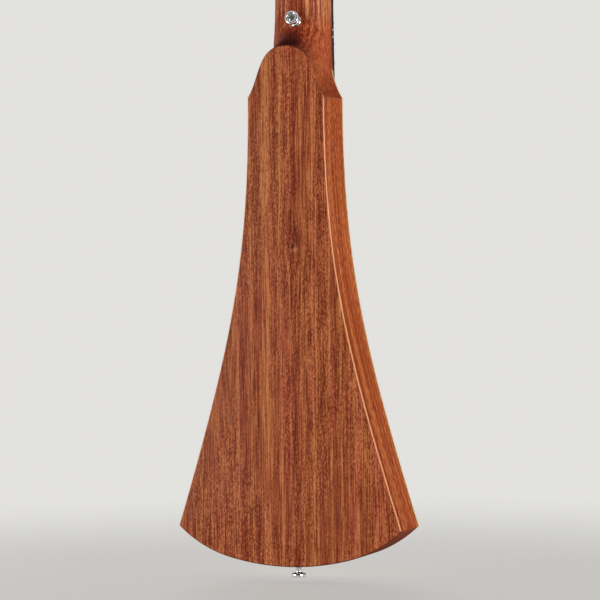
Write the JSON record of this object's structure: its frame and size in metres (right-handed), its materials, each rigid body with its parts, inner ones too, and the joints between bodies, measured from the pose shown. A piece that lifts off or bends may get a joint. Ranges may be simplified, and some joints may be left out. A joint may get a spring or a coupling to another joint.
{
  "type": "travel guitar",
  "caption": "Slim steel-string travel guitar with a narrow paddle-shaped body, flat back, carved heel, geared tuning machines and strap buttons.",
  "frame": {"origin": "head hanger: centre of the neck's front face at the lower edge of the nut, where the scale length starts", "axes": "+Z along the neck to the head, +Y out of the soundboard, +X to the bass side"},
  "size_m": [0.2044, 0.0632, 0.8853],
  "materials": {
    "back_wood": "red-brown open-grained wood, satin",
    "side_wood": "red-brown wood, satin",
    "neck_wood": "brown wood, satin",
    "spruce": "pale fine-grained wood, satin",
    "brace_wood": "pale bare wood",
    "black_composite": "black composite, satin",
    "bone": "off-white, polished",
    "chrome": "polished chrome plate",
    "steel": "plain steel",
    "plain_string": "bright steel wire",
    "wound_string": "bronze-wound steel wire"
  },
  "bodies": {
    "guitar": {"neck": "neck_wood", "reinforcing_rod": "steel", "back_plate": "back_wood", "soundboard": "spruce", "side_bass": "side_wood", "side_treble": "side_wood", "tail_rib": "side_wood", "tail_block": "neck_wood", "lining_top_bass": "brace_wood", "lining_top_treble": "brace_wood", "lining_back_bass": "brace_wood", "lining_back_treble": "brace_wood", "top_cross_brace": "brace_wood", "top_leg_brace_bass": "brace_wood", "top_leg_brace_treble": "brace_wood", "back_brace_upper": "brace_wood", "back_brace_lower": "brace_wood", "fingerboard": "black_composite", "nut": "bone", "bridge": "black_composite", "saddle": "bone", "bridge_plate": "back_wood", "strap_button_heel": "chrome", "strap_button_tail": "chrome", "strap_screw_heel": "steel", "strap_screw_tail": "steel", "bridge_pin_1": "bone", "bridge_pin_2": "bone", "bridge_pin_3": "bone", "bridge_pin_4": "bone", "bridge_pin_5": "bone", "bridge_pin_6": "bone", "string_1": "plain_string", "string_2": "plain_string", "string_3": "wound_string", "string_4": "wound_string", "string_5": "wound_string", "string_6": "wound_string", "tuner_plate_1": "chrome", "tuner_plate_2": "chrome", "tuner_plate_3": "chrome", "tuner_plate_4": "chrome", "tuner_plate_5": "chrome", "tuner_plate_6": "chrome"},
    "tuner_knob_1": {"tuner_button_1": "chrome"},
    "tuner_wheel_1": {"tuner_post_1": "chrome"},
    "tuner_knob_2": {"tuner_button_2": "chrome"},
    "tuner_wheel_2": {"tuner_post_2": "chrome"},
    "tuner_knob_3": {"tuner_button_3": "chrome"},
    "tuner_wheel_3": {"tuner_post_3": "chrome"},
    "tuner_knob_4": {"tuner_button_4": "chrome"},
    "tuner_wheel_4": {"tuner_post_4": "chrome"},
    "tuner_knob_5": {"tuner_button_5": "chrome"},
    "tuner_wheel_5": {"tuner_post_5": "chrome"},
    "tuner_knob_6": {"tuner_button_6": "chrome"},
    "tuner_wheel_6": {"tuner_post_6": "chrome"}
  },
  "joints": [
    {"name": "tuner_turn_1", "type": "hinge", "parent": "guitar", "child": "tuner_knob_1", "pos_m": [-0.01923, -0.02238, 0.02048], "axis": [1, 0, 0], "continuous": true},
    {"name": "post_turn_1", "type": "hinge", "parent": "guitar", "child": "tuner_wheel_1", "pos_m": [-0.01923, -0.01931, 0.0285], "axis": [0, 0.9781, 0.2079], "continuous": true},
    {"name": "tuner_turn_2", "type": "hinge", "parent": "guitar", "child": "tuner_knob_2", "pos_m": [-0.01793, -0.02841, 0.04885], "axis": [1, 0, 0], "continuous": true},
    {"name": "post_turn_2", "type": "hinge", "parent": "guitar", "child": "tuner_wheel_2", "pos_m": [-0.01793, -0.02534, 0.05687], "axis": [0, 0.9781, 0.2079], "continuous": true},
    {"name": "tuner_turn_3", "type": "hinge", "parent": "guitar", "child": "tuner_knob_3", "pos_m": [-0.01662, -0.03444, 0.07722], "axis": [1, 0, 0], "continuous": true},
    {"name": "post_turn_3", "type": "hinge", "parent": "guitar", "child": "tuner_wheel_3", "pos_m": [-0.01662, -0.03137, 0.08523], "axis": [0, 0.9781, 0.2079], "continuous": true},
    {"name": "tuner_turn_4", "type": "hinge", "parent": "guitar", "child": "tuner_knob_4", "pos_m": [0.01662, -0.03444, 0.07722], "axis": [1, 0, 0], "continuous": true},
    {"name": "post_turn_4", "type": "hinge", "parent": "guitar", "child": "tuner_wheel_4", "pos_m": [0.01662, -0.03137, 0.08523], "axis": [0, 0.9781, 0.2079], "continuous": true},
    {"name": "tuner_turn_5", "type": "hinge", "parent": "guitar", "child": "tuner_knob_5", "pos_m": [0.01793, -0.02841, 0.04885], "axis": [1, 0, 0], "continuous": true},
    {"name": "post_turn_5", "type": "hinge", "parent": "guitar", "child": "tuner_wheel_5", "pos_m": [0.01793, -0.02534, 0.05687], "axis": [0, 0.9781, 0.2079], "continuous": true},
    {"name": "tuner_turn_6", "type": "hinge", "parent": "guitar", "child": "tuner_knob_6", "pos_m": [0.01923, -0.02238, 0.02048], "axis": [1, 0, 0], "continuous": true},
    {"name": "post_turn_6", "type": "hinge", "parent": "guitar", "child": "tuner_wheel_6", "pos_m": [0.01923, -0.01931, 0.0285], "axis": [0, 0.9781, 0.2079], "continuous": true}
  ],
  "couplings": [
    {"joint": "post_turn_1", "follows": "tuner_turn_1", "ratio": 0.071429},
    {"joint": "post_turn_2", "follows": "tuner_turn_2", "ratio": 0.071429},
    {"joint": "post_turn_3", "follows": "tuner_turn_3", "ratio": 0.071429},
    {"joint": "post_turn_4", "follows": "tuner_turn_4", "ratio": 0.071429},
    {"joint": "post_turn_5", "follows": "tuner_turn_5", "ratio": 0.071429},
    {"joint": "post_turn_6", "follows": "tuner_turn_6", "ratio": 0.071429}
  ]
}
